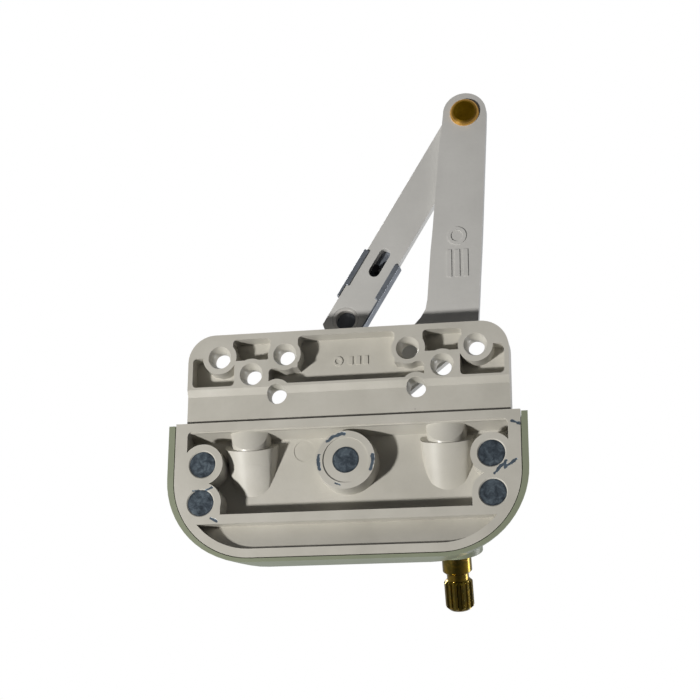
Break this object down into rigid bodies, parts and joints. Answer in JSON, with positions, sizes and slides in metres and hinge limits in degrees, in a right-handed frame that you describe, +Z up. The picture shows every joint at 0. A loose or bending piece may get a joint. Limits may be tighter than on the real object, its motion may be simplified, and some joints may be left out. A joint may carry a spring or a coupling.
{
  "type": "casement window operator",
  "caption": "Underside-mounted crank window operator: flanged cast base, splined crank stub, worm drive, cranked sash arm and folding link with slide clip.",
  "frame": {"origin": "sash arm pivot axis on the underside plane of the base", "axes": "+Z up from the sill through the base, -Y towards the room and the crank stub, +Y towards the outside and the arms"},
  "size_m": [0.1094, 0.1655, 0.0363],
  "materials": {
    "stone_paint": "satin painted die casting",
    "bare_zinc": "bare die-cast zinc",
    "staked_zinc": "bare staked metal",
    "sage_paint": "satin sage paint",
    "yellow_plate": "yellow passivated steel",
    "bronze": "sintered bronze",
    "steel_dark": "plain steel",
    "spring_black": "blackened spring steel",
    "seal_rubber": "rubber ring",
    "arm_paint": "satin grey-beige paint",
    "acetal": "moulded acetal",
    "rivet_brass": "brass",
    "bushing_grey": "dark moulded bushing",
    "clip_zinc": "bright zinc plate"
  },
  "bodies": {
    "base": {"base_casting": "stone_paint", "gear_housing": "bare_zinc", "housing_posts": "staked_zinc", "pivot_post": "staked_zinc", "cover": "sage_paint", "front_bushing": "bronze", "front_thrust_washer": "steel_dark", "rear_thrust_washer": "steel_dark", "shaft_retaining_ring": "spring_black", "shaft_seal_ring": "seal_rubber", "hub_washer_lower": "acetal", "hub_washer_upper": "acetal"},
    "shaft": {"crank_shaft": "yellow_plate", "worm": "yellow_plate"},
    "arm": {"main_arm": "arm_paint", "gear_sector": "steel_dark", "sector_rivets": "steel_dark", "pivot_bushing": "bronze", "arm_rivet": "rivet_brass", "rivet_wave_washer": "steel_dark", "rivet_spacer": "acetal"},
    "link": {"link_arm": "arm_paint", "stud_bushing": "bushing_grey"},
    "clip": {"slide_clip": "clip_zinc", "clip_detent": "spring_black"}
  },
  "joints": [
    {"name": "main_arm_swing", "type": "hinge", "parent": "base", "child": "arm", "pos_m": [0, 0, 0], "axis": [0, 0, 1], "range_deg": [-58, 18]},
    {"name": "worm_spin", "type": "hinge", "parent": "base", "child": "shaft", "pos_m": [-0.03, 0, 0.01], "axis": [0, -0.866, 0.5], "range_deg": [-702.5, 2262.5]},
    {"name": "link_fold", "type": "hinge", "parent": "arm", "child": "link", "pos_m": [-0.03635, 0.11695, 0], "axis": [0, 0, 1], "range_deg": [-35, 140]},
    {"name": "clip_slide", "type": "slide", "parent": "link", "child": "clip", "axis": [0.5049, -0.8632, 0], "range_m": [-0.0048, 0.001]}
  ],
  "couplings": [
    {"joint": "worm_spin", "follows": "main_arm_swing", "ratio": -39}
  ]
}
